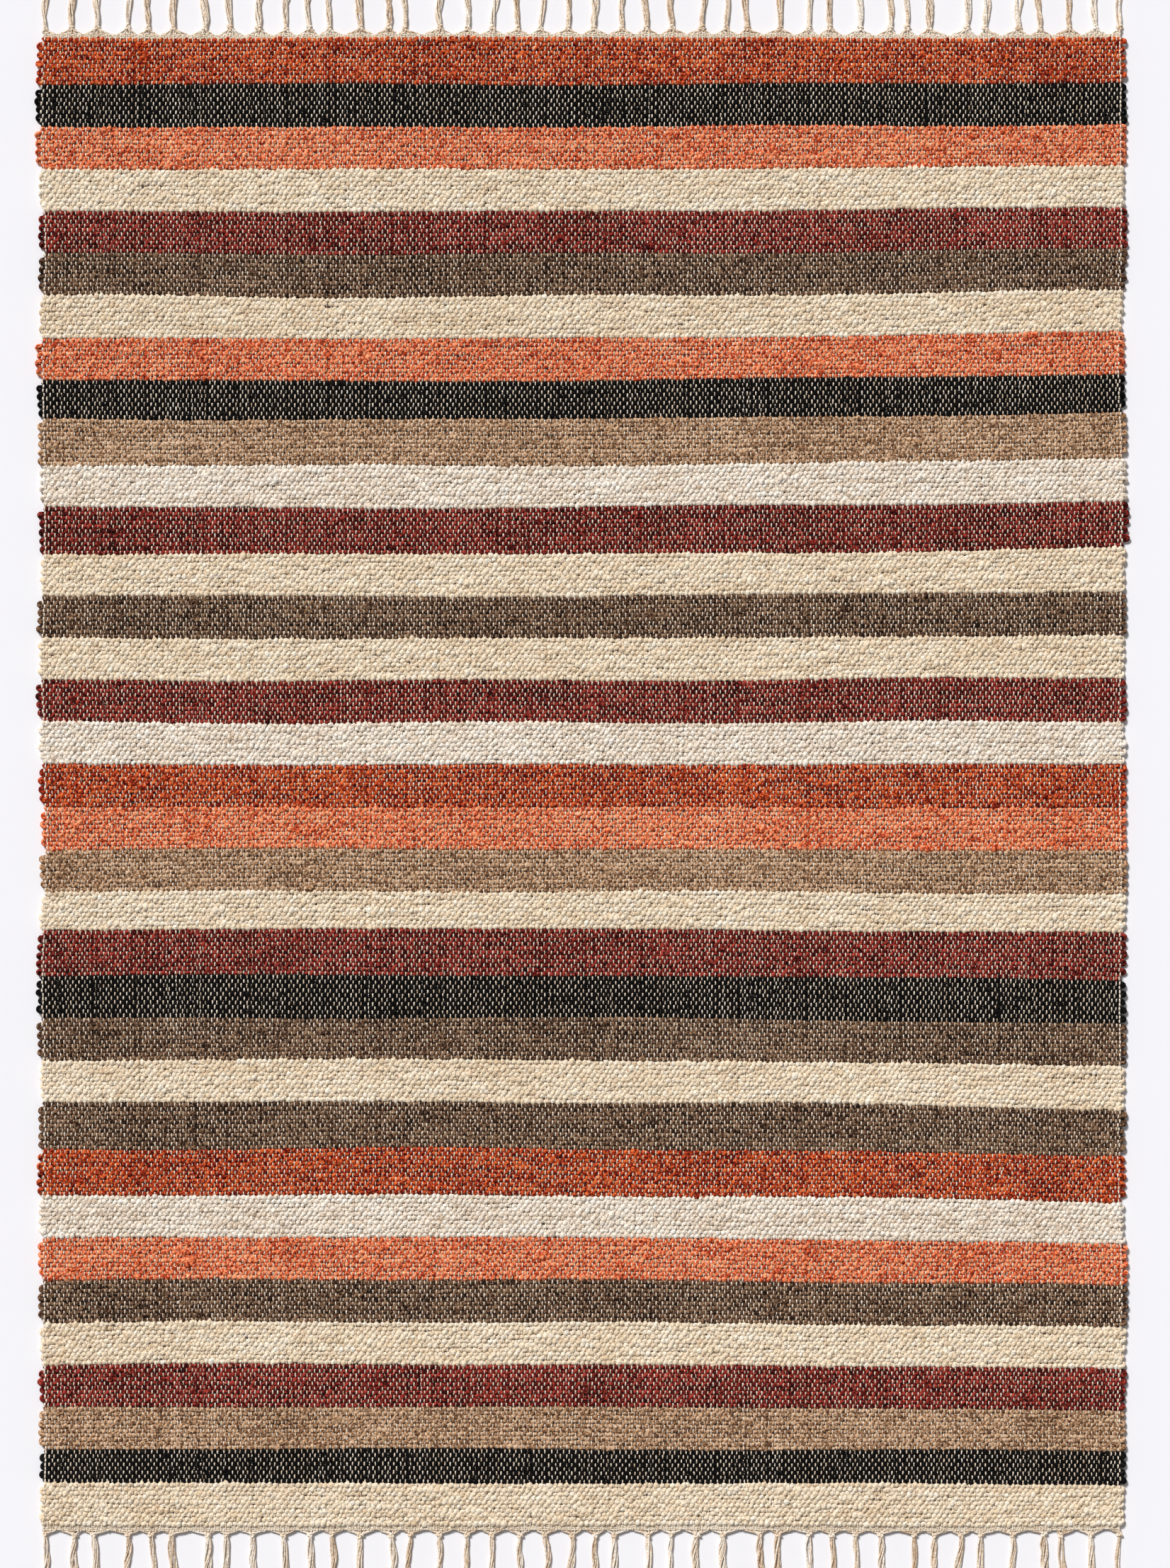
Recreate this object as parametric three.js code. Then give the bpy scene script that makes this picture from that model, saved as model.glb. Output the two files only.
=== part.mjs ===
// A striped flat-woven area rug, lying flat: 35 stripes of thick hand-spun weft beaten over a thin
// cotton warp, two selvedge cords at its sides, a ribbed cotton heading at each end, and the warp
// ends knotted into a row of tassels beyond each heading.
//
// Millimetres. X runs across the rug with the weft, Y runs along it with the warp, and Z is up.
// The origin is the middle of the rug, on the floor.
import * as THREE from 'three';

// ---- Driving dimensions -------------------------------------------------------------------------

const WIDTH = 1200; // across the woven body, over the weft loops at both selvedges
const BODY_LENGTH = 1636.8; // along the stripes, without headings and fringes
const THICKNESS = 6.2; // the beaten weft, over and under the warp

const HEADING_LENGTH = 6; // the ribbed cotton band at each end
const HEADING_THICKNESS = 5;

const WARP_THICKNESS = 1.2; // the sheet of warp ends in the middle of the weft
const WARP_INSET = 10; // from the selvedge to the first end of the warp sheet
const CORD_DIAMETER = 2.4; // the doubled warp end that stiffens each selvedge
const CORD_INSET = 5; // from the selvedge to the middle of its cord

const FRINGE_LENGTH = 75; // from the heading to the tip of the longest tassel
const FRINGE_THICKNESS = 4.6;
const TASSELS = 42; // in each row
const TASSEL_INSET = 8; // from the selvedge to the middle of the corner tassel
const TASSEL_WIDTH = 9;
const KNOT_DIAMETER = 11;
const KNOT_STRIP = 3.5; // the warp ends between the heading and the knots

const GAP = 0.3; // left between pieces that touch
const FOLD_LIFT = 8; // the fold's axis above the rug's face: half the room inside the bight
const FLIP_LIFT = 0.4; // the fringe's axis above the rug's face

// ---- The stripes, from the +Y end to the -Y end: yarn, and picks woven with it -------------------

const STRIPES = [
  ['rust', 11],
  ['black', 10],
  ['coral', 10],
  ['cream', 10],
  ['plum', 10],
  ['walnut', 10],
  ['cream', 10],
  ['coral', 10],
  ['black', 9],
  ['taupe', 11],
  ['ecru', 10],
  ['plum', 11],
  ['cream', 10],
  ['walnut', 10],
  ['cream', 10],
  ['plum', 10],
  ['ecru', 10],
  ['rust', 10],
  ['coral', 10],
  ['taupe', 10],
  ['cream', 9],
  ['plum', 11],
  ['black', 10],
  ['walnut', 10],
  ['cream', 10],
  ['walnut', 11],
  ['rust', 11],
  ['ecru', 10],
  ['coral', 10],
  ['walnut', 10],
  ['cream', 10],
  ['plum', 10],
  ['taupe', 10],
  ['black', 8],
  ['cream', 10],
];

const PICKS = STRIPES.reduce((sum, [, picks]) => sum + picks, 0);
const PICK_PITCH = BODY_LENGTH / PICKS;
const FOLD_PICK = Math.round(PICKS / 2); // the fold runs between two picks, at the middle
const FOLD_Y = BODY_LENGTH / 2 - FOLD_PICK * PICK_PITCH;
const MID_Z = THICKNESS / 2; // the warp's plane
const BODY_END = BODY_LENGTH / 2 + HEADING_LENGTH;

// ---- Materials ----------------------------------------------------------------------------------

const yarn = (color) => new THREE.MeshStandardMaterial({ color, roughness: 0.95, metalness: 0 });

const YARNS = {
  rust: yarn('#9a4a2c'),
  black: yarn('#1f1816'),
  coral: yarn('#d0744f'),
  cream: yarn('#dcc5a4'),
  plum: yarn('#66281f'),
  walnut: yarn('#5c4a3a'),
  taupe: yarn('#9b7c64'),
  ecru: yarn('#dfcdb6'),
};
const COTTON = yarn('#e3d0b2');

// ---- Helpers ------------------------------------------------------------------------------------

const rug = new THREE.Group();

// Adds a named piece to the rug.
function add(name, geometry, material) {
  const mesh = new THREE.Mesh(geometry, material);
  mesh.name = name;
  rug.add(mesh);
  return mesh;
}

// Extrudes an X-Z section along Y, from y = high down to y = low.
function alongWarp(section, high, low) {
  const options = { depth: high - low, bevelEnabled: false, curveSegments: 3 };
  const geometry = new THREE.ExtrudeGeometry(section, options);
  geometry.rotateX(Math.PI / 2);
  geometry.translate(0, high, 0);
  return geometry;
}

// A rectangle centred on x, z.
function rectangle(PathClass, x, z, width, height) {
  const path = new PathClass();
  path.moveTo(x - width / 2, z - height / 2);
  path.lineTo(x + width / 2, z - height / 2);
  path.lineTo(x + width / 2, z + height / 2);
  path.lineTo(x - width / 2, z + height / 2);
  path.closePath();
  return path;
}

function circle(PathClass, x, z, diameter) {
  const path = new PathClass();
  path.absarc(x, z, diameter / 2, 0, 2 * Math.PI);
  return path;
}

const CORD_X = WIDTH / 2 - CORD_INSET;
const WARP_WIDTH = WIDTH - 2 * WARP_INSET;

// The section of a woven band: round at both selvedges, where the weft turns back on itself, with
// a slot that the warp sheet runs through and a round channel for each selvedge cord.
function bandSection(thickness, bottom) {
  const radius = thickness / 2;
  const middle = bottom + radius;
  const straight = WIDTH / 2 - radius;
  const section = new THREE.Shape();
  section.moveTo(-straight, bottom);
  section.lineTo(straight, bottom);
  section.absarc(straight, middle, radius, -Math.PI / 2, Math.PI / 2);
  section.lineTo(-straight, bottom + thickness);
  section.absarc(-straight, middle, radius, Math.PI / 2, (3 * Math.PI) / 2);
  const slotHeight = WARP_THICKNESS + 2 * GAP;
  section.holes.push(rectangle(THREE.Path, 0, MID_Z, WARP_WIDTH + 2 * GAP, slotHeight));
  for (const side of [-1, 1]) {
    section.holes.push(circle(THREE.Path, side * CORD_X, MID_Z, CORD_DIAMETER + 2 * GAP));
  }
  return section;
}

// ---- Weft stripes -------------------------------------------------------------------------------

// A band between two picks, counted from the +Y end, clear of its neighbours by the gap.
function weftBand(name, material, firstPick, lastPick) {
  const high = BODY_LENGTH / 2 - firstPick * PICK_PITCH - GAP / 2;
  const low = BODY_LENGTH / 2 - lastPick * PICK_PITCH + GAP / 2;
  add(name, alongWarp(bandSection(THICKNESS, 0), high, low), material);
}

let pick = 0;
STRIPES.forEach(([colour, picks], index) => {
  const name = `weft_${String(index + 1).padStart(2, '0')}_${colour}`;
  const end = pick + picks;
  if (pick < FOLD_PICK && FOLD_PICK < end) {
    weftBand(`${name}_upper`, YARNS[colour], pick, FOLD_PICK);
    weftBand(`${name}_lower`, YARNS[colour], FOLD_PICK, end);
  } else {
    weftBand(name, YARNS[colour], pick, end);
  }
  pick = end;
});

// ---- Headings -----------------------------------------------------------------------------------

const HEADING_BOTTOM = MID_Z - HEADING_THICKNESS / 2;
const headingSection = bandSection(HEADING_THICKNESS, HEADING_BOTTOM);
add('heading_top', alongWarp(headingSection, BODY_END, BODY_LENGTH / 2 + GAP / 2), COTTON);
add('heading_bottom', alongWarp(headingSection, -BODY_LENGTH / 2 - GAP / 2, -BODY_END), COTTON);

// ---- Warp and selvedge cords, cut at the fold ---------------------------------------------------

for (const [half, high, low] of [
  ['upper', BODY_END, FOLD_Y + GAP / 2],
  ['lower', FOLD_Y - GAP / 2, -BODY_END],
]) {
  const sheet = rectangle(THREE.Shape, 0, MID_Z, WARP_WIDTH, WARP_THICKNESS);
  add(`warp_${half}`, alongWarp(sheet, high, low), COTTON);
  for (const [hand, side] of [['left', -1], ['right', 1]]) {
    const cord = circle(THREE.Shape, side * CORD_X, MID_Z, CORD_DIAMETER);
    add(`selvedge_cord_${hand}_${half}`, alongWarp(cord, high, low), COTTON);
  }
}

// ---- Fringes ------------------------------------------------------------------------------------

const TASSEL_PITCH = (WIDTH - 2 * TASSEL_INSET) / (TASSELS - 1);

// One row of tassels pointing along +Y: the short strip of warp ends beyond the heading, and from
// it a knot and a tassel at each place. The row is tied by hand, so the spacing, the lean and the
// length vary a little from tassel to tassel.
function fringeOutline(phase) {
  const knotRadius = KNOT_DIAMETER / 2;
  const neck = Math.PI / 3; // where the strip and the tassel meet the knot, from its axis
  const knotY = KNOT_STRIP + knotRadius * Math.cos(neck);
  const outline = new THREE.Shape();
  outline.moveTo(WIDTH / 2, 0);
  outline.lineTo(-WIDTH / 2, 0);
  outline.lineTo(-WIDTH / 2, KNOT_STRIP);
  for (let i = 0; i < TASSELS; i += 1) {
    const corner = i === 0 || i === TASSELS - 1;
    const wander = corner ? 0 : 0.1 * TASSEL_PITCH * Math.sin(2.4 * i + phase);
    const lean = corner ? 0 : 0.1 * TASSEL_PITCH * Math.sin(1.7 * i + 2 * phase);
    const length = FRINGE_LENGTH * (i === 1 ? 1 : 0.96 + 0.04 * Math.sin(3.1 * i + phase));
    const x = -WIDTH / 2 + TASSEL_INSET + i * TASSEL_PITCH + wander;
    const tip = TASSEL_WIDTH / 2;
    outline.absarc(x, knotY, knotRadius, (3 * Math.PI) / 2 - neck, Math.PI / 2 + neck / 2, true);
    outline.absarc(x + lean, length - tip, tip, Math.PI, 0, true);
    outline.absarc(x, knotY, knotRadius, Math.PI / 2 - neck / 2, neck - Math.PI / 2, true);
  }
  outline.lineTo(WIDTH / 2, KNOT_STRIP);
  outline.closePath();
  return outline;
}

for (const [end, phase] of [['top', 0.4], ['bottom', 1.9]]) {
  const options = { depth: FRINGE_THICKNESS, bevelEnabled: false, curveSegments: 2 };
  const row = new THREE.ExtrudeGeometry(fringeOutline(phase), options);
  const fringe = add(`fringe_${end}`, row, COTTON);
  fringe.position.y = BODY_END + GAP;
  if (end === 'bottom') {
    fringe.position.y = -BODY_END - GAP;
    fringe.rotation.z = Math.PI;
  }
}

// ---- Axes ---------------------------------------------------------------------------------------

// The upper half folds over the lower one about a line along X above the middle of the rug, and
// each fringe flips back over the rug about a line along X above the joint with its heading.
rug.userData.axes = {
  fold: [0, FOLD_Y, THICKNESS + FOLD_LIFT],
  fringe_top_flip: [0, BODY_END + GAP / 2, THICKNESS + FLIP_LIFT],
  fringe_bottom_flip: [0, -BODY_END - GAP / 2, THICKNESS + FLIP_LIFT],
};

export default rug;
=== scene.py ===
import bpy
import numpy as np
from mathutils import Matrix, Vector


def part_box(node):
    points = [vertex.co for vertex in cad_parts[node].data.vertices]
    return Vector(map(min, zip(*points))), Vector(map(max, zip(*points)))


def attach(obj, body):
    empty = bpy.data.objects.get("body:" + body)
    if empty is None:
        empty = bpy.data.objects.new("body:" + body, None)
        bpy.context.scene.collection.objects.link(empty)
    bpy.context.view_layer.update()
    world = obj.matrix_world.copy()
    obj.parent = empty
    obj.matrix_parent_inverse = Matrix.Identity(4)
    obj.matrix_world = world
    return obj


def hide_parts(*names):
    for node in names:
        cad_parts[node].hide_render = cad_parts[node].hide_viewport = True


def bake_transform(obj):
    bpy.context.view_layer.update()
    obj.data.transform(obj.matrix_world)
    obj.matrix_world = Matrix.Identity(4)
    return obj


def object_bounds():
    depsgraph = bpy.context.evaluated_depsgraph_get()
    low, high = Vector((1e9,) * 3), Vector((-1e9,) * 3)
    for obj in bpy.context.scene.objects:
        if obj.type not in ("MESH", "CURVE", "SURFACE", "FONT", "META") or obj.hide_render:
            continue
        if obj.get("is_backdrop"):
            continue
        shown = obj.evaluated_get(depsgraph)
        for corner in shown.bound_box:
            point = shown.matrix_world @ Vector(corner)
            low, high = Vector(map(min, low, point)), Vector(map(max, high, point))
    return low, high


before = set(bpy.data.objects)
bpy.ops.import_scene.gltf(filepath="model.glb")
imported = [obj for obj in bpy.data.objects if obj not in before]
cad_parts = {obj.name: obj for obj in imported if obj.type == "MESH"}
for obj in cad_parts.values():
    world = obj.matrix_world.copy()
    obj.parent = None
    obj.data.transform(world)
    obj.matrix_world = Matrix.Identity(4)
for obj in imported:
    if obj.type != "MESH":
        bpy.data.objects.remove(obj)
cad_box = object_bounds()
random = np.random.default_rng(35)


# ---- The cloth as it lies -----------------------------------------------------------------------
# Some 390 warp ends cross 352 picks of weft and a few fine picks in each heading. Nothing in it is
# straight: the stripes waver, the selvedges wander, and here and there two ends run close together
# and show as a pale streak.

MID_PLANE = 0.0033  # the warp's plane above the floor
PICK_PITCH = 0.00465
HEADING_PICKS = 3
WARP_ENDS = 390
TURN_ROOM = 0.0080  # from the selvedge to the first warp end
END_SPREAD = 0.11  # how unevenly the ends are spaced, as a share of their mean spacing
CLOSE_PAIRS = 16  # places where two ends run close together
CLOSE_STEP = 0.55  # how close, as a share of the mean spacing
PAIR_CLEAR = 12  # no such pair among this many ends beside a selvedge
STREAK_END, STREAK_STEP = 6, 0.5  # one more pair, which streaks the left side
DOUBLED_STEP = 0.36  # the doubled end inside each selvedge
WIDEST_STEP = 1.5
LEAN = 0.010  # how far the stripes lean
END_WANDER = 0.00042  # how far each end strays along its length
END_SHAKE = 0.00034  # and from pick to pick
FLAT_END = 0.05  # the cloth lies flat this near to its ends

stripe_nodes = sorted({node[:7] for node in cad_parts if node.startswith("weft_")})
yarn_of, span_of = {}, {}
for stripe in stripe_nodes:
    nodes = [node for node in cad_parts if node.startswith(stripe)]
    boxes = [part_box(node) for node in nodes]
    yarn_of[stripe] = nodes[0].split("_")[2]
    span_of[stripe] = (max(high[1] for _, high in boxes), min(low[1] for low, _ in boxes))
first_stripe = stripe_nodes[0] + "_" + yarn_of[stripe_nodes[0]]
HALF_WIDTH, BODY_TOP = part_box(first_stripe)[1][:2]
BODY_BOTTOM = -BODY_TOP
CLOTH_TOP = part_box("heading_top")[1][1]
FRINGE_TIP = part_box("fringe_top")[1][1]
HEADING = CLOTH_TOP - BODY_TOP


def waves(across, along, reach, amount, count=5):
    """A smooth random field: a few sine waves of about that reach."""
    total = 0
    for _ in range(count):
        heading, phase = random.uniform(0, 2 * np.pi, 2)
        length = reach * random.uniform(0.6, 1.6)
        way = across * np.cos(heading) + along * np.sin(heading)
        total = total + np.sin(2 * np.pi * way / length + phase)
    return amount * total / np.sqrt(count)


def grain(shape, reach):
    """Random numbers of about unit size that follow each other along the first axis."""
    steps = np.arange(-int(3 * reach) - 1, int(3 * reach) + 2)
    weights = np.exp(-0.5 * (steps / reach) ** 2)
    weights /= np.sqrt((weights**2).sum())
    rows = random.standard_normal(shape)
    return np.apply_along_axis(np.convolve, 0, rows, weights, mode="same")


# The columns of the grid are the picks, from the +Y end, and its rows are the warp ends, from the
# left. pick_stripe says which stripe a pick is in, and the fine picks of the headings are in none.
pick_y, pick_stripe = [], []
for number in range(HEADING_PICKS):
    pick_y.append(CLOTH_TOP - (number + 0.5) * HEADING / HEADING_PICKS)
    pick_stripe.append("top")
for stripe, (high, low) in span_of.items():
    picks = round((high - low) / PICK_PITCH)
    for number in range(picks):
        pick_y.append(high - (number + 0.5) * (high - low) / picks)
        pick_stripe.append(stripe)
for number in range(HEADING_PICKS):
    pick_y.append(BODY_BOTTOM - (number + 0.5) * HEADING / HEADING_PICKS)
    pick_stripe.append("bottom")
pick_stripe = np.array(pick_stripe)
columns = len(pick_y)

end_steps = 1 + END_SPREAD * random.standard_normal(WARP_ENDS - 1)
end_steps[random.integers(PAIR_CLEAR, WARP_ENDS - PAIR_CLEAR, CLOSE_PAIRS)] = CLOSE_STEP
end_steps[[0, -1]] = DOUBLED_STEP
end_steps[STREAK_END] = STREAK_STEP
end_x = np.concatenate([[0], np.cumsum(np.clip(end_steps, DOUBLED_STEP, WIDEST_STEP))])
end_x = (end_x / end_x[-1] - 0.5) * 2 * (HALF_WIDTH - TURN_ROOM)
warp_is_up = (np.arange(WARP_ENDS)[:, None] + np.arange(columns)[None, :]) % 2 == 0

flat_x, flat_y = np.meshgrid(end_x, np.array(pick_y), indexing="ij")
across = flat_x / HALF_WIDTH
from_left = (across + 1) / 2
# The right side is woven a little slacker than the left, so the stripes lean away from the middle.
lean = LEAN * (1.6 * from_left**2 - 0.9 * from_left)
cross_y = flat_y + lean * np.sin(np.pi * flat_y / BODY_TOP)
cross_y += waves(flat_x, 4 * flat_y, reach=0.45, amount=0.0009)
# Each selvedge is drawn in and out by itself, and the middle of the cloth hardly moves with it.
side_pull = waves(0 * flat_x + np.sign(across), flat_y, reach=0.16, amount=0.0016, count=7)
cross_x = flat_x + across * np.abs(across) ** 5 * side_pull
cross_x += waves(3 * flat_x, flat_y, reach=0.35, amount=0.0007)
end_path = (END_WANDER * grain((columns, WARP_ENDS), 7)).T
cross_x += end_path + END_SHAKE * random.standard_normal(cross_x.shape)
lift = np.maximum(0, waves(flat_x, flat_y, reach=0.5, amount=0.0005))
lift *= np.clip((CLOTH_TOP - np.abs(flat_y)) / FLAT_END, 0, 1)

# Each tassel takes the warp ends nearest to it, and pulls the edge of its heading into a scallop.
TASSELS = 42
TASSEL_INSET = 0.009
TASSEL_SHIFT, MOST_SHIFT = 0.0040, 0.008  # the tassels are tied at uneven places
SCALLOP = {"top": 0.0024, "bottom": 0.0010}
SCALLOP_REACH = 0.015  # from a knot to the hollow beside it
HOLLOW = 0.7  # how much of a scallop's depth lies inside the cloth's edge
GATHER = 0.07  # how far the last heading pick draws the ends towards their knot

tassel_x = {}
for end in ("top", "bottom"):
    places = np.linspace(-HALF_WIDTH + TASSEL_INSET, HALF_WIDTH - TASSEL_INSET, TASSELS)
    shift = TASSEL_SHIFT * random.standard_normal(TASSELS - 2)
    places[1:-1] += np.clip(shift, -MOST_SHIFT, MOST_SHIFT)
    tassel_x[end] = np.sort(places)


def nearest_tassel(end, x):
    """Which tassel each warp end at x is tied into."""
    return np.abs(x[:, None] - tassel_x[end][None, :]).argmin(axis=1)


for end, sign in (("top", 1), ("bottom", -1)):
    picks = np.flatnonzero(pick_stripe == end)
    for pick in picks:
        outward = (HEADING_PICKS - pick) if end == "top" else (pick - picks[0] + 1)
        share = (outward / HEADING_PICKS) ** 1.5
        knot_x = tassel_x[end][nearest_tassel(end, cross_x[:, pick])]
        offset = np.clip(np.abs(cross_x[:, pick] - knot_x) / SCALLOP_REACH, 0, 1)
        cross_y[:, pick] += sign * share * SCALLOP[end] * ((1 - offset) ** 2 - HOLLOW)
        cross_x[:, pick] += GATHER * share * (knot_x - cross_x[:, pick])


# ---- Weft yarn ----------------------------------------------------------------------------------
# Each stripe is one length of thick hand-spun cotton that goes back and forth through the warp and
# turns in a round loop at each selvedge. It is lumpy, because it is spun by hand, and each pick
# bulges between the ends that hold it down.

WEFT_REACH = 0.00258  # half the yarn's width, along the warp
WEFT_RISE = 0.00165  # half its height
WEFT_WAVE = 0.00136  # how far it swings over and under the warp's plane
BEAD_REACH = 0.00100  # from the middle of a bulge to its shoulders
BEAD_TILT = 0.00050  # how far the spin of the yarn turns each bulge
OVER_REACH, UNDER_REACH = 1.05, 0.98  # it bulges over an end, and is squeezed under one
UNDER_RISE = 0.8
EVENNESS = 0.07  # how much its thickness changes, from bead to bead and over a run of them
SLUB, SLUB_RARITY = 0.26, 1.5  # the thick places that are left by the spinner's hand
THINNEST, THICKEST = 0.86, 1.75
SIZE_SHAKE, TILT_SHAKE, BEAD_SHAKE = 0.05, 0.00035, 0.00012  # how each bead differs from the next
PICK_WANDER = 0.00026
BEAD_SHADE, RUN_SHADE, PICK_SHADE = 0.08, 0.05, 0.03  # how its shade changes in the same way
TURN_ANGLES = np.radians([-62, -31, 0, 31, 62])
TURN_BULGE = 0.0018  # how far a loop at the selvedge swells out from its two picks
TURN_REACH, TURN_RISE = 0.00215, 0.0020  # half the width and height of the yarn in a loop
TURN_CLEAR = 0.0005  # between the loops and the widest the body gets
TURN_SHAKE, TURN_SIZE_SHAKE = 0.0006, 0.08
FLOOR_CLEAR = 0.0001  # no yarn goes below this
LID_PLACE = 1e-4  # the size of an end face in the map


def sweep(name, centres, reach, rise, shade, sides, loops=False):
    """A mesh of tubes, one for each row of centres, an array of strands by rings by 3.
    reach and rise are half the width and height of each ring. shade is kept on the points for the
    colour, and the map runs along each strand in u and round it in v."""
    strands, rings = centres.shape[:2]
    along = np.gradient(centres, axis=1)
    if loops:
        along = np.roll(centres, -1, axis=1) - np.roll(centres, 1, axis=1)
    along /= np.linalg.norm(along, axis=2, keepdims=True) + 1e-12
    side = np.cross(along, [0.0, 0.0, 1.0])
    side /= np.linalg.norm(side, axis=2, keepdims=True) + 1e-12
    up = np.cross(side, along)
    turn = np.pi / 2 + 2 * np.pi * np.arange(sides) / sides
    points = centres[:, :, None, :]
    points = points + (reach[..., None] * np.cos(turn))[..., None] * side[:, :, None, :]
    points = points + (rise[..., None] * np.sin(turn))[..., None] * up[:, :, None, :]
    points[..., 2] = np.maximum(points[..., 2], FLOOR_CLEAR)

    last = rings if loops else rings - 1
    strand, ring, face = np.meshgrid(
        np.arange(strands), np.arange(last), np.arange(sides), indexing="ij"
    )
    start = strand * rings * sides
    here, there = start + ring * sides, start + (ring + 1) % rings * sides
    beside = (face + 1) % sides
    quads = np.stack([here + face, here + beside, there + beside, there + face], axis=-1)
    u_here, u_there = ring / last, (ring + 1) / last
    v_low, v_high = strand + face / sides, strand + (face + 1) / sides
    corners = [(u_here, v_low), (u_here, v_high), (u_there, v_high), (u_there, v_low)]
    places = np.stack([np.stack(corner, axis=-1) for corner in corners], axis=-2)
    quads, places = quads.reshape(-1, 4), places.reshape(-1, 4, 2)
    if not loops:
        # each tube is closed at both ends by one four-sided face, or by two where it has six sides
        first = np.arange(strands)[:, None] * rings * sides
        final = first + (rings - 1) * sides
        lids = [[0, 3, 2, 1]] if sides == 4 else [[0, 3, 2, 1], [0, 5, 4, 3]]
        for lid in lids:
            quads = np.concatenate([quads, first + np.array(lid), final + np.array(lid[::-1])])
        lid_places = LID_PLACE * np.array([[0, 0], [0, 1], [1, 1], [1, 0]])
        lid_count = len(quads) - len(places)
        places = np.concatenate([places, np.tile(lid_places, (lid_count, 1, 1))])
    return mesh_of(name, points.reshape(-1, 3), quads, places, np.repeat(shade.reshape(-1), sides))


def mesh_of(name, points, quads, places, shade):
    """An object from its points, its four-sided faces, their places in the map and the shade."""
    mesh = bpy.data.meshes.new(name)
    mesh.vertices.add(len(points))
    mesh.vertices.foreach_set("co", points.astype(np.float32).ravel())
    mesh.loops.add(quads.size)
    mesh.loops.foreach_set("vertex_index", quads.astype(np.int32).ravel())
    mesh.polygons.add(len(quads))
    mesh.polygons.foreach_set("loop_start", np.arange(0, quads.size, 4, dtype=np.int32))
    mesh.polygons.foreach_set("use_smooth", np.ones(len(quads), dtype=bool))
    mesh.update(calc_edges=True)
    places = places / max(1.0, places[..., 1].max())  # the rows of the map fill it from the bottom
    chart = mesh.uv_layers.new(name="OFBake")
    chart.data.foreach_set("uv", places.astype(np.float32).ravel())
    tone = mesh.attributes.new("shade", "FLOAT", "POINT")
    tone.data.foreach_set("value", shade.astype(np.float32))
    piece = bpy.data.objects.new(name, mesh)
    bpy.context.scene.collection.objects.link(piece)
    return piece


class Value:
    """A shader socket. Arithmetic on it adds Math nodes."""

    def __init__(self, finish, socket):
        self.finish, self.socket = finish, socket

    def math(self, operation, first, second):
        return self.finish.node("ShaderNodeMath", {"operation": operation}, {0: first, 1: second})

    def __add__(self, other):
        return self.math("ADD", self, other)

    def __sub__(self, other):
        return self.math("SUBTRACT", self, other)

    def __rsub__(self, other):
        return self.math("SUBTRACT", other, self)

    def __mul__(self, other):
        return self.math("MULTIPLY", self, other)

    __radd__ = __add__
    __rmul__ = __mul__


class Finish:
    """A material, or the room's light, that is being made. One method adds any node."""

    def __init__(self, made, shader="Principled BSDF"):
        made.use_nodes = True
        self.nodes = made.node_tree.nodes
        self.links = made.node_tree.links
        self.shader = self.nodes[shader]

    def node(self, kind, settings=None, sockets=None, output=0):
        made = self.nodes.new(kind)
        for setting, value in (settings or {}).items():
            if setting == "stops":
                self.set_stops(made.color_ramp, value)
            else:
                setattr(made, setting, value)
        self.feed(made, sockets or {})
        return Value(self, made.outputs[output])

    def feed(self, node, sockets):
        for key, value in sockets.items():
            if isinstance(value, Value):
                self.links.new(value.socket, node.inputs[key])
            else:
                node.inputs[key].default_value = value

    @staticmethod
    def set_stops(ramp, stops):
        for spare in list(ramp.elements)[len(stops):]:
            ramp.elements.remove(spare)
        for number, (place, colour) in enumerate(stops):
            stop = ramp.elements[number] if number < len(ramp.elements) else ramp.elements.new(place)
            stop.position, stop.color = place, colour

    def noise(self, vector, scale, detail=2.0, roughness=0.5):
        return self.node(
            "ShaderNodeTexNoise",
            {"normalize": True},
            {"Vector": vector, "Scale": scale, "Detail": detail, "Roughness": roughness},
        )

    def between(self, value, low, high):
        """0 below low, 1 above high, and smooth between them."""
        settings = {"interpolation_type": "SMOOTHSTEP"}
        return self.node("ShaderNodeMapRange", settings, {0: value, 1: low, 2: high})

    def mix(self, share, first, second):
        sockets = {0: share, 6: first, 7: second}
        return self.node("ShaderNodeMix", {"data_type": "RGBA"}, sockets, output=2)


def colour(code):
    """A linear colour with alpha from its six-digit code."""
    parts = np.array([int(code[at : at + 2], 16) for at in (0, 2, 4)]) / 255
    linear = np.where(parts <= 0.04045, parts / 12.92, ((parts + 0.055) / 1.055) ** 2.4)
    return (*(float(part) for part in linear), 1.0)


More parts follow.
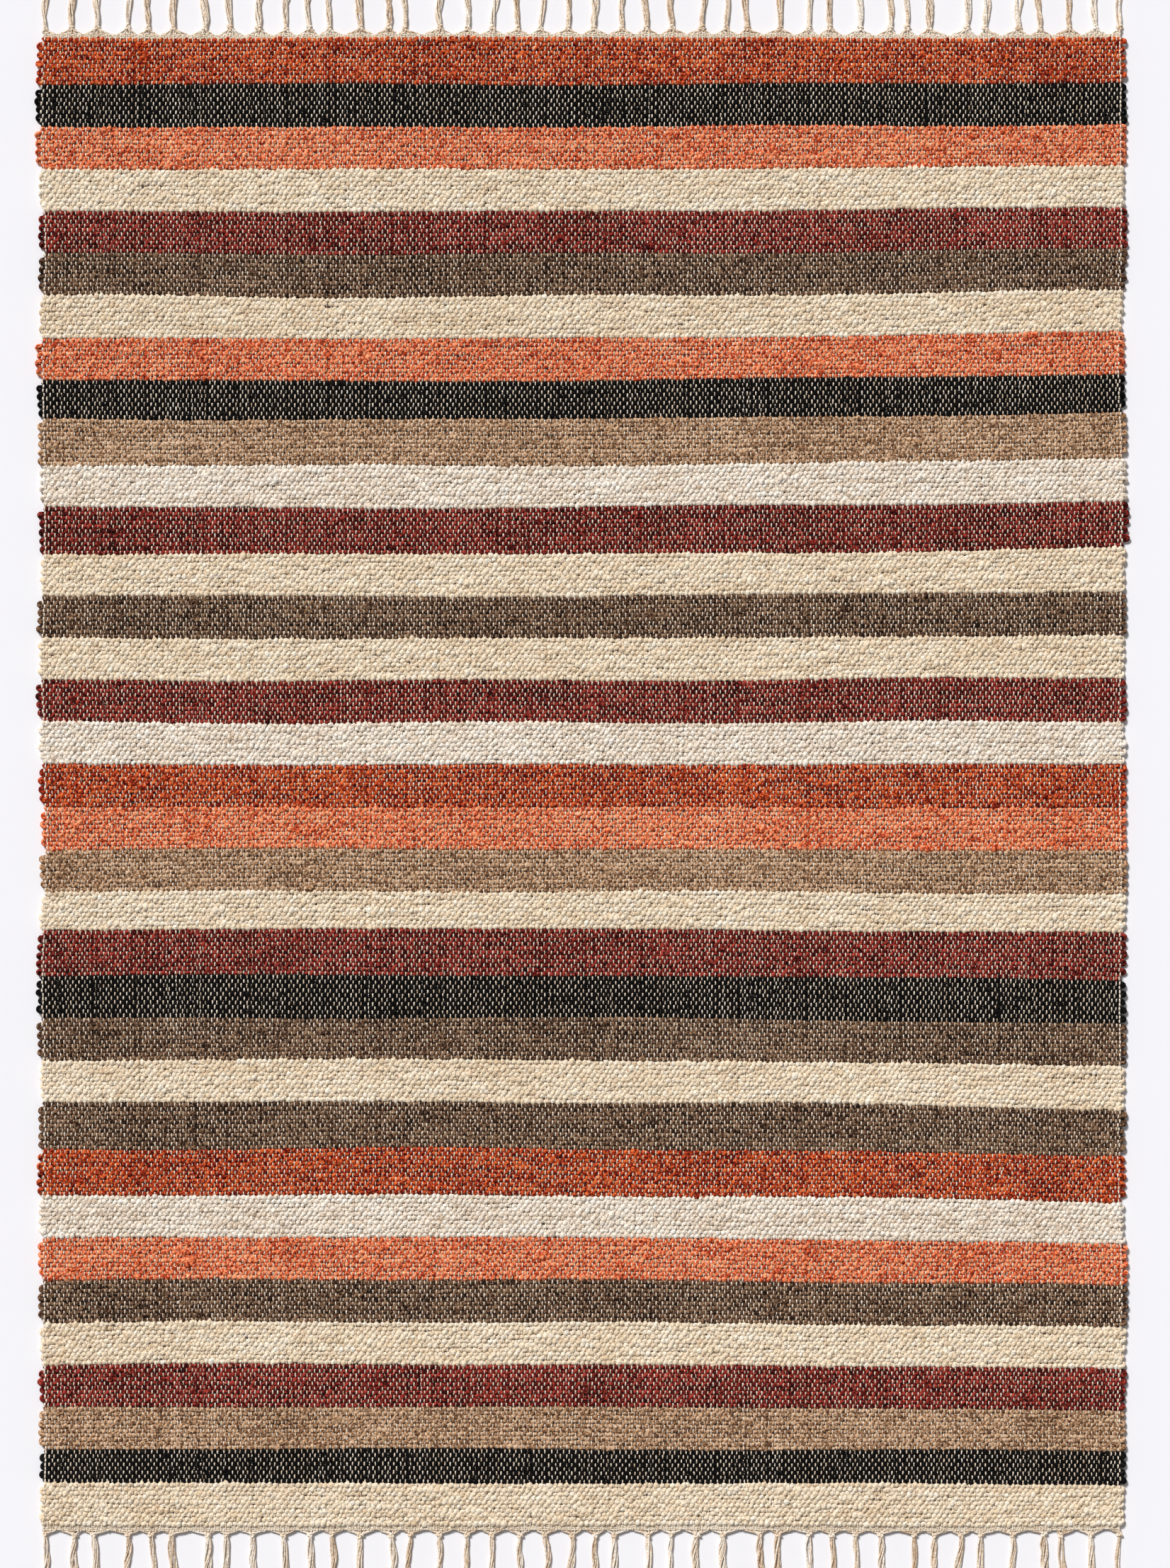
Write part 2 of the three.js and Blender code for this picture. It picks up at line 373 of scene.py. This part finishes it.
def cotton(
    name, deep, body, bright, fleck, heather=1.0, fibre=1.0, relief=0.8, lay=(0.35, 1.0, 1.0)
):
    """Matte spun cotton: darker and paler tufts of fibre along the yarn, a shade that drifts from
    pick to pick, a few coloured flecks, and a fine twisted relief. lay squeezes the fibres along
    the way the yarn runs."""
    material = bpy.data.materials.new(name)
    finish = Finish(material)
    place = finish.node("ShaderNodeTexCoord", output=3)
    shade = finish.node("ShaderNodeAttribute", {"attribute_name": "shade"}, output=2)
    streak = finish.node("ShaderNodeVectorMath", {"operation": "MULTIPLY"}, {0: place, 1: lay})
    fibres = finish.noise(streak, scale=1300 * fibre, roughness=0.6)
    tufts = finish.noise(place, scale=420 * fibre)
    fade = finish.noise(place, scale=9.0)
    tone = (fibres - 0.5) * 0.8 + (tufts - 0.5) * (1.3 * heather) + shade + (fade - 0.5) * 0.3
    tint = finish.mix(finish.between(tone, -0.34, 0.0), colour(deep), colour(body))
    tint = finish.mix(finish.between(tone, 0.0, 0.36), tint, colour(bright))
    spots = finish.noise(place, scale=240.0, detail=1.0)
    tint = finish.mix(finish.between(spots, 0.70, 0.78) * 0.8, tint, colour(fleck))
    twist = finish.noise(streak, scale=1900 * fibre)
    height = twist + finish.noise(place, scale=430 * fibre, detail=1.0) * 2.0
    sockets = {"Strength": 0.8, "Distance": 0.001 * relief, "Height": height}
    bump = finish.node("ShaderNodeBump", {}, sockets)
    finish.feed(finish.shader, {"Base Color": tint, "Normal": bump, "Roughness": 0.92})
    gloss = {"Specular IOR Level": 0.10, "Sheen Weight": 0.04, "Sheen Roughness": 0.5}
    finish.feed(finish.shader, gloss)
    return material


WEFT_FINISH = {
    "rust": cotton("rust_weft", "520c05", "b03417", "e47038", "efb482", heather=2.0),
    "black": cotton("black_weft", "030202", "080605", "1c1714", "4a3f37"),
    "coral": cotton("coral_weft", "a8361a", "f07446", "fdaa7a", "fbe2b4", heather=2.3, relief=1.0),
    "cream": cotton("cream_weft", "e2c6a2", "fbe6c8", "fff6e6", "b98a66", heather=0.9, relief=1.2),
    "plum": cotton("plum_weft", "260404", "6c1b13", "ae4034", "cf9a7c", heather=1.9),
    "walnut": cotton("walnut_weft", "1e120a", "5e412f", "96765a", "c8ae90", heather=1.8),
    "taupe": cotton("taupe_weft", "674630", "ae8460", "dcb896", "ead8bf", heather=1.9),
    "ecru": cotton("ecru_weft", "dcc4aa", "fdeedc", "fffaf2", "b08a6c", heather=0.9, relief=1.15),
}
# How lumpy each yarn is spun, how full it is, and how far it stands back from the selvedge.
LUMPS = {"cream": 1.7, "ecru": 1.6, "coral": 1.6, "taupe": 1.4, "rust": 1.5, "walnut": 1.2}
FULL = {"cream": 1.2, "ecru": 1.18, "coral": 1.05, "taupe": 1.04, "rust": 1.03}
SET_BACK = {"cream": 0.0020, "ecru": 0.0016}


def stripe_yarn(stripe):
    """The one length of yarn that makes a stripe, as a path and its half width and height."""
    picks = np.flatnonzero(pick_stripe == stripe)
    lumps = LUMPS.get(yarn_of[stripe], 1.0)
    full = FULL.get(yarn_of[stripe], 1.0)
    shape = (WARP_ENDS, len(picks))
    thick = full + lumps * (EVENNESS * grain(shape, 0.5) + EVENNESS * grain(shape, 2.5))
    thick += SLUB * lumps * np.maximum(0, grain(shape, 2.0) - SLUB_RARITY)
    thick = np.clip(thick, THINNEST, THICKEST)
    shade = BEAD_SHADE * grain(shape, 0.6) + RUN_SHADE * grain(shape, 4.0)
    shade += PICK_SHADE * random.standard_normal(len(picks))
    tilt = BEAD_TILT + TILT_SHAKE * random.standard_normal(shape)
    over = ~warp_is_up[:, picks]
    centre_y = cross_y[:, picks] + PICK_WANDER * lumps * grain(shape, 0.7)
    centre_z = MID_PLANE + lift[:, picks] + np.where(over, 1, -1) * WEFT_WAVE

    path, reaches, rises, shades = [], [], [], []
    for number in range(len(picks)):
        # two rings where the yarn stands over an end, one where it dives under the next
        side = 1 if number % 2 == 0 else -1
        order = np.arange(WARP_ENDS)[::side]
        at = np.repeat(order, np.where(over[order, number], 2, 1))
        second = np.concatenate([[False], at[1:] == at[:-1]])
        hump = over[at, number]
        go = np.where(second, 1, -1) * hump * side
        shake = random.standard_normal((3, len(at))) * BEAD_SHAKE * lumps
        path.append(np.stack([
            cross_x[at, picks[number]] + go * BEAD_REACH + shake[0],
            centre_y[at, number] + go * tilt[at, number] + shake[1],
            centre_z[at, number] + shake[2],
        ], 1))
        size = thick[at, number] * (1 + SIZE_SHAKE * lumps * random.standard_normal(len(at)))
        reaches.append(WEFT_REACH * size * np.where(hump, OVER_REACH, UNDER_REACH))
        rises.append(WEFT_RISE * size * np.where(hump, 1.0, UNDER_RISE))
        shades.append(shade[at, number])
        if number == len(picks) - 1:
            break
        # the loop round the selvedge, into the next pick
        edge = -1 if side > 0 else 0
        top, low = centre_y[edge, number], centre_y[edge, number + 1]
        out = TURN_ROOM - TURN_CLEAR - TURN_REACH - TURN_BULGE - SET_BACK.get(yarn_of[stripe], 0)
        hub = cross_x[edge, picks[number]] + side * (out + TURN_SHAKE * random.standard_normal())
        swing = np.sin(TURN_ANGLES)
        loop = np.empty((len(TURN_ANGLES), 3))
        loop[:, 0] = hub + side * TURN_BULGE * np.cos(TURN_ANGLES)
        loop[:, 1] = (top + low) / 2 - swing * (top - low) / 2
        loop[:, 2] = np.interp(swing, [-1, 1], [centre_z[edge, number], centre_z[edge, number + 1]])
        path.append(loop)
        size = 1 + TURN_SIZE_SHAKE * random.standard_normal()
        reaches.append(np.full(len(TURN_ANGLES), TURN_REACH) * size)
        rises.append(np.full(len(TURN_ANGLES), TURN_RISE))
        shades.append(np.full(len(TURN_ANGLES), shade[edge, number]))
    return [np.concatenate(part)[None] for part in (path, reaches, rises, shades)]


# One stripe lies across the fold, so two nodes stand for it.
upper_node = next(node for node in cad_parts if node.startswith("weft_") and "upper" in node)
FOLD_STRIPE = upper_node[:7]


def ride_half(piece, middle_y):
    """A piece on one side of the fold moves with its half of the rug."""
    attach(piece, "upper_half" if middle_y > 0 else "lower_half")


def bend_at_fold(piece):
    """A piece that crosses the fold keeps its place in the world and rides with neither half."""
    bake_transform(piece)


for stripe in stripe_nodes:
    yarn = yarn_of[stripe]
    path, reaches, rises, shades = stripe_yarn(stripe)
    piece = sweep(f"{stripe}_{yarn}_yarn", path, reaches, rises, shades, sides=6)
    piece.data.materials.append(WEFT_FINISH[yarn])
    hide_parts(*[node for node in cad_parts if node.startswith(stripe)])
    if stripe == FOLD_STRIPE:
        bend_at_fold(piece)
    else:
        ride_half(piece, span_of[stripe][0])


# ---- Warp ends ----------------------------------------------------------------------------------
# Thin, hard-twisted, undyed cotton, stretched on the loom, so each end runs the whole length and
# shows as a pale dash over every second pick. The ends are cut into lengths of a few stripes here.

WARP_REACH = 0.00083
WARP_RISE = 0.00074
WARP_WAVE = 0.00205  # how far an end swings over and under its own plane
HEADING_WAVE = 0.00030
HEADING_RIB = 0.00080  # how high the ends stand over the fine picks of a heading
DOUBLED_WAVE = 1.2  # how much farther the doubled ends at the selvedges swing
DASH_REACH = 0.2  # half of each dash's level part, in picks
END_RISE_SHAKE, END_SIZE_SHAKE = 0.00007, 0.07  # how the ends differ in height and thickness
END_SHADE, DASH_SHADE = 0.10, 0.05
STRIPES_TOGETHER = 3  # as many as one length of the ends runs through

WARP_FINISH = cotton(
    "warp_cotton", "c6ab8e", "f1e0cb", "fef4e6", "dcbf98", lay=(1.0, 0.4, 1.0), fibre=1.3
)


def between_picks(grid, column):
    """A value of the grid on the line before a pick, level with the cloth's edge past the ends."""
    if column == 0:
        return 1.5 * grid[:, 0] - 0.5 * grid[:, 1]
    if column == columns:
        return 1.5 * grid[:, -1] - 0.5 * grid[:, -2]
    return (grid[:, column - 1] + grid[:, column]) / 2


in_heading = np.isin(pick_stripe, ["top", "bottom"])
wave = np.where(in_heading, HEADING_WAVE, WARP_WAVE)[None, :] + np.zeros((WARP_ENDS, 1))
wave[[0, 1, -2, -1]] *= DOUBLED_WAVE
warp_z = MID_PLANE + lift + np.where(warp_is_up, 1, -1) * wave + HEADING_RIB * in_heading
warp_z += END_RISE_SHAKE * random.standard_normal(warp_z.shape)
end_shade = END_SHADE * random.standard_normal(WARP_ENDS)
end_size = 1 + END_SIZE_SHAKE * random.standard_normal(WARP_ENDS)


def warp_run(ends, first, last):
    """The centres of some warp ends from pick first up to pick last: two where an end stands over
    a pick, so that it shows as a dash, and one where it dives under the next."""
    grids = np.stack([cross_x, cross_y, warp_z], axis=-1)
    ahead = np.gradient(grids, axis=1)
    before = between_picks(grids, first)
    after = between_picks(grids, last)
    runs = {}
    for phase in (False, True):
        members = ends[warp_is_up[ends, first] == phase]
        up = warp_is_up[members[0], first:last]
        at = np.repeat(np.arange(first, last), np.where(up, 2, 1))
        second = np.concatenate([[False], at[1:] == at[:-1]])
        go = np.where(second, 1, -1) * np.repeat(up, np.where(up, 2, 1))
        path = grids[members][:, at] + go[:, None] * DASH_REACH * ahead[members][:, at]
        lengths = [before[members][:, None], path, after[members][:, None]]
        runs[phase] = np.concatenate(lengths, axis=1)
    rings = max(path.shape[1] for path in runs.values())
    centres = np.empty((len(ends), rings, 3))
    for phase, path in runs.items():
        if path.shape[1] < rings:
            halfway = (path[:, -2:-1] + path[:, -1:]) / 2
            path = np.concatenate([path[:, :-1], halfway, path[:, -1:]], axis=1)
        centres[warp_is_up[ends, first] == phase] = path
    return centres


def warp_piece(name, ends, first, last, size):
    """A mesh of those ends, each as thick all along its length."""
    path = warp_run(ends, first, last)
    girth = np.repeat((size * end_size[ends])[:, None], path.shape[1], axis=1)
    shade = end_shade[ends][:, None] + DASH_SHADE * random.standard_normal(path.shape[:2])
    piece = sweep(name, path, WARP_REACH * girth, WARP_RISE * girth, shade, sides=4)
    piece.data.materials.append(WARP_FINISH)
    return piece


def in_lengths(stripes):
    """The stripes in groups that one length of the warp runs through."""
    starts = range(0, len(stripes), STRIPES_TOGETHER)
    return [stripes[start : start + STRIPES_TOGETHER] for start in starts]


inner_ends = np.arange(2, WARP_ENDS - 2)
fold_at = stripe_nodes.index(FOLD_STRIPE)
upper_lengths = in_lengths(stripe_nodes[:fold_at])
lower_lengths = in_lengths(stripe_nodes[fold_at + 1 :])

for number, stripes in enumerate(upper_lengths + [[FOLD_STRIPE]] + lower_lengths, start=1):
    picks = np.flatnonzero(np.isin(pick_stripe, stripes))
    first, last = picks[0], picks[-1] + 1
    top, bottom = span_of[stripes[0]][0], span_of[stripes[-1]][1]
    if first == HEADING_PICKS:
        first, top = 0, CLOTH_TOP
    if last == columns - HEADING_PICKS:
        last, bottom = columns, -CLOTH_TOP
    piece = warp_piece(f"warp_ends_{number}", inner_ends, first, last, 1.0)
    if stripes == [FOLD_STRIPE]:
        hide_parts("warp_upper", "warp_lower")
        bend_at_fold(piece)
    else:
        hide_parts("warp_upper" if top > 0 else "warp_lower")
        ride_half(piece, top)
    top - bottom


# ---- Selvedge cords -----------------------------------------------------------------------------
# The outermost warp end on each side is doubled, because it takes the pull of every turn of the
# weft. The two run close together and show as one unbroken pale line.

CORD_SIZE = 1.3

fold_picks = np.flatnonzero(pick_stripe == FOLD_STRIPE)
fold_first, fold_last = fold_picks[0], fold_picks[-1] + 1
cord_lengths = {"upper": (0, fold_first), "fold": (fold_first, fold_last), "lower": (fold_last, columns)}
cord_ends = {"left": np.array([0, 1]), "right": np.array([WARP_ENDS - 2, WARP_ENDS - 1])}

for name, (first, last) in cord_lengths.items():
    for hand, ends in cord_ends.items():
        piece = warp_piece(f"selvedge_cord_{hand}_{name}_yarn", ends, first, last, CORD_SIZE)
        if name == "fold":
            bend_at_fold(piece)
        else:
            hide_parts(f"selvedge_cord_{hand}_{name}")
            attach(piece, f"{name}_half")


# ---- Headings -----------------------------------------------------------------------------------
# A few fine cotton picks at each end, beaten so close that the warp ends stand on them as ribs.
# They lock the last thick pick, and the knots pull their edge into scallops.

HEADING_REACH = 0.00105
HEADING_RISE = 0.00082
HEADING_LIFT = 0.0002  # how much higher these picks lie than the thick ones
HEADING_SWING = 0.00020  # how far they swing over and under the ends
HEADING_SHADE = 0.06
HEADING_FINISH = cotton(
    "heading_cotton", "d4ba98", "f6e6ce", "fff5e6", "d3b389", lay=(1.0, 0.5, 1.0), fibre=1.2
)

for end in ("top", "bottom"):
    picks = np.flatnonzero(pick_stripe == end)
    height = MID_PLANE + HEADING_LIFT + np.where(warp_is_up[:, picks], -1, 1) * HEADING_SWING
    path = np.stack([cross_x[:, picks], cross_y[:, picks], height], axis=-1).transpose(1, 0, 2)
    reach = np.full(path.shape[:2], HEADING_REACH)
    rise = np.full(path.shape[:2], HEADING_RISE)
    shade = HEADING_SHADE * random.standard_normal(path.shape[:2])
    piece = sweep(f"heading_{end}_picks", path, reach, rise, shade, sides=6)
    piece.data.materials.append(HEADING_FINISH)
    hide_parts(f"heading_{end}")
    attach(piece, "upper_half" if end == "top" else "lower_half")


# ---- Tassels ------------------------------------------------------------------------------------
# Beyond each heading about nine warp ends fan in to an overhand knot and hang on as a loosely
# twisted tassel, which waves a little and is cut off by hand.

KNOT_OUT = {"top": 0.0050, "bottom": 0.0042}  # from the cloth's edge to the middle of a knot
KNOT_SHIFT = 0.0007
KNOT_WIDE, KNOT_LONG, KNOT_DEEP = 0.00112, 0.00092, 0.0011  # a third of its loops' reach
KNOT_YARN = 0.00112  # half the thickness of the yarn in a knot
STRAND = 0.00074
FAN_STEPS = 8
FAN_LANE = 0.0004  # between two strands as they enter their knot
FAN_SHED = 0.0005
TASSEL_STEPS = 30
TASSEL_HEIGHT = 0.0021  # the middle of a tassel that has settled on the floor
TASSEL_SPREAD = 0.0029  # half the width of a tassel of the usual number of strands
USUAL_STRANDS = 9
STRAND_WANDER = 0.0005
SHORTEST_CUT, CUT_SPREAD, CUT_SHAKE = 0.0015, 0.006, 0.0018
DRIFT = 0.0040  # how far a tip lies aside of its knot
SWAYS = 1.3  # waves along a tassel
OPENED, SETTLED = 0.16, 0.25  # where it is at full width and on the floor, as shares of its length
TASSEL_SHADE, STRAND_SHADE, RING_SHADE, KNOT_SHADE = 0.10, 0.12, 0.05, 0.10
STRAND_SIZE_SHAKE = 0.12

FRINGE_FINISH = cotton(
    "fringe_cotton", "d0b090", "f4e0c8", "fff7ec", "d8b48e", lay=(1.0, 0.15, 1.0), heather=0.7
)


def tassel_strands(end, sign):
    """The centres of every strand of a row, its shade, and where each knot sits."""
    column = 0 if end == "top" else columns
    start_x = between_picks(cross_x, column)
    start_y = between_picks(cross_y, column)
    group = nearest_tassel(end, start_x)
    reach = FRINGE_TIP - CLOTH_TOP - KNOT_OUT[end]
    strands, shades, knots = [], [], []
    for tassel in range(TASSELS):
        members = np.flatnonzero(group == tassel)
        if len(members) == 0:
            continue
        knot_x = tassel_x[end][tassel]
        knot_shift = KNOT_SHIFT * np.clip(random.standard_normal(), -1.5, 1.5)
        knot_y = CLOTH_TOP + KNOT_OUT[end] + knot_shift
        knots.append((knot_x, sign * knot_y))
        length = reach - SHORTEST_CUT - CUT_SPREAD * random.random()
        drift = DRIFT * random.standard_normal()
        sway = 0.0009 * random.random() + 0.0003
        sway_phase = random.uniform(0, 2 * np.pi)
        turns = random.uniform(0.35, 1.1) * 2 * np.pi
        fullness = np.sqrt(len(members) / USUAL_STRANDS)
        spread = TASSEL_SPREAD * random.uniform(0.8, 1.25) * fullness
        tassel_shade = TASSEL_SHADE * random.standard_normal()
        for number, member in enumerate(members):
            # from the heading into the knot
            ahead = np.linspace(0, 1, FAN_STEPS, endpoint=False)
            lane = number - (len(members) - 1) / 2
            root_x, root_y = start_x[member], sign * start_y[member]
            ease = ahead * ahead * (3 - 2 * ahead)
            fan_x = root_x + (knot_x + FAN_LANE * lane - root_x) * ease
            fan_y = root_y + (knot_y - root_y) * (ahead * 0.75 + 0.25 * ahead**2)
            fan_z = MID_PLANE + FAN_SHED * np.sin(np.pi * ahead) * (1 if number % 2 else -1)
            # from the knot to the tip
            past = np.linspace(0, 1, TASSEL_STEPS)
            cut = length + CUT_SHAKE * random.standard_normal()
            angle = 2 * np.pi * number / len(members) + turns * past + 0.5 * random.standard_normal()
            hold = 0.45 + 0.55 * np.clip(past / OPENED, 0, 1) + 0.2 * past
            ring = spread * hold * np.sqrt(random.uniform(0.25, 1.0))
            curls, curl_phase = random.uniform(1.5, 3.5), random.random()
            wander = STRAND_WANDER * np.sin(2 * np.pi * (past * curls + curl_phase))
            swing = sway * (np.sin(2 * np.pi * past * SWAYS + sway_phase) - np.sin(sway_phase))
            go_x = knot_x + drift * past**1.5 + swing + ring * np.cos(angle) + wander * past
            go_y = knot_y + cut * past
            settle = np.clip(past / SETTLED, 0, 1)
            middle_z = MID_PLANE * (1 - settle) + TASSEL_HEIGHT * settle
            go_z = np.maximum(middle_z + 0.5 * ring * np.sin(angle), STRAND)
            strands.append(np.stack([
                np.concatenate([fan_x, go_x]),
                sign * np.concatenate([fan_y, go_y]),
                np.concatenate([fan_z, go_z]),
            ], axis=-1))
            shades.append(tassel_shade + STRAND_SHADE * random.standard_normal())
    return np.array(strands), np.array(shades), np.array(knots)


def overhand_knots(knots):
    """The closed path of a small overhand knot at each place."""
    turn = np.linspace(0, 2 * np.pi, 36, endpoint=False)
    loop = np.stack([
        (np.sin(turn) + 2 * np.sin(2 * turn)) * KNOT_WIDE,
        (np.cos(turn) - 2 * np.cos(2 * turn)) * KNOT_LONG,
        -np.sin(3 * turn) * KNOT_DEEP,
    ], axis=-1)
    paths = []
    for x, y in knots:
        tilt = random.uniform(0, 2 * np.pi)
        size = random.uniform(0.85, 1.12)
        spin = np.array([[np.cos(tilt), -np.sin(tilt)], [np.sin(tilt), np.cos(tilt)]])
        path = loop * size
        path[:, :2] = path[:, :2] @ spin.T
        paths.append(path + [x, y, MID_PLANE])
    return np.array(paths)


for end, sign in (("top", 1), ("bottom", -1)):
    path, shades, knots = tassel_strands(end, sign)
    size = 1 + STRAND_SIZE_SHAKE * random.standard_normal((len(path), 1))
    girth = np.full(path.shape[:2], STRAND) * size
    tone = shades[:, None] + RING_SHADE * random.standard_normal(path.shape[:2])
    strands = sweep(f"tassels_{end}", path, girth, girth, tone, sides=6)
    strands.data.materials.append(FRINGE_FINISH)
    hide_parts(f"fringe_{end}")
    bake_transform(strands)

    loops = overhand_knots(knots)
    girth = np.full(loops.shape[:2], KNOT_YARN)
    tone = KNOT_SHADE * random.standard_normal((len(loops), 1)) + 0 * girth
    tied = sweep(f"knots_{end}", loops, girth, girth, tone, sides=6, loops=True)
    tied.data.materials.append(FRINGE_FINISH)
    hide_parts(f"fringe_{end}")
    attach(tied, f"{end}_tassels")


# ---- Floor, light and camera --------------------------------------------------------------------
# A pale seamless floor and wall, window light from the upper left with a little light from the
# room, and a camera that looks straight down.

FLOOR_SIZE = 40.0
VIEW_HEIGHT = 1.727  # what the picture shows of the floor, along the rug
LENS, SENSOR = 85.0, 36.0
CAMERA_X, CAMERA_Y = 0.003, -0.0025
WINDOW_LIGHT, WINDOW_WIDTH = 3.5, 14.0
WINDOW_TILT = (-38, -28, 0)
FLOOR_PAINT = (0.925, 0.915, 0.945, 1)
WALL = (0.915, 0.905, 0.935, 1)  # the pale wall that low views see behind the floor
WALL_TOP = 0.165  # the sine of its height above the horizon
WALL_FADE = 0.03
CEILING = (0.205, 0.205, 0.205, 1)

floor_mesh = bpy.data.meshes.new("floor")
far = FLOOR_SIZE / 2
corners = [(-far, -far, 0), (far, -far, 0), (far, far, 0), (-far, far, 0)]
floor_mesh.from_pydata(corners, [], [(0, 1, 2, 3)])
floor = bpy.data.objects.new("floor", floor_mesh)
bpy.context.scene.collection.objects.link(floor)
floor_paint = bpy.data.materials.new("floor_paint")
paint = Finish(floor_paint)
paint.feed(paint.shader, {"Base Color": FLOOR_PAINT, "Roughness": 0.9, "Specular IOR Level": 0.1})
floor_mesh.materials.append(floor_paint)
floor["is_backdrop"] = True

world = bpy.data.worlds.new("studio")
room = Finish(world, shader="Background")
direction = room.node("ShaderNodeTexCoord")
steepness = room.node("ShaderNodeSeparateXYZ", {}, {0: direction}, output=2)
stops = [(WALL_TOP, WALL), (WALL_TOP + WALL_FADE, CEILING)]
glow = room.node("ShaderNodeValToRGB", {"stops": stops}, {0: steepness})
room.feed(room.shader, {"Color": glow})
world.cycles.sampling_method = "NONE"  # the room is nearly even, so it needs no map of its light
bpy.context.scene.world = world
bpy.context.scene.view_settings.view_transform = "Standard"

window = bpy.data.objects.new("window", bpy.data.lights.new("window", "SUN"))
window.data.energy, window.data.angle = WINDOW_LIGHT, np.radians(WINDOW_WIDTH)
window.rotation_euler = np.radians(WINDOW_TILT)
bpy.context.scene.collection.objects.link(window)

camera = bpy.data.objects.new("camera", bpy.data.cameras.new("camera"))
camera.data.lens, camera.data.sensor_width = LENS, SENSOR
camera.location = (CAMERA_X, CAMERA_Y, VIEW_HEIGHT * LENS / SENSOR)
bpy.context.scene.collection.objects.link(camera)
bpy.context.scene.camera = camera

boxes = {"cad": cad_box, "visual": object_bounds()}
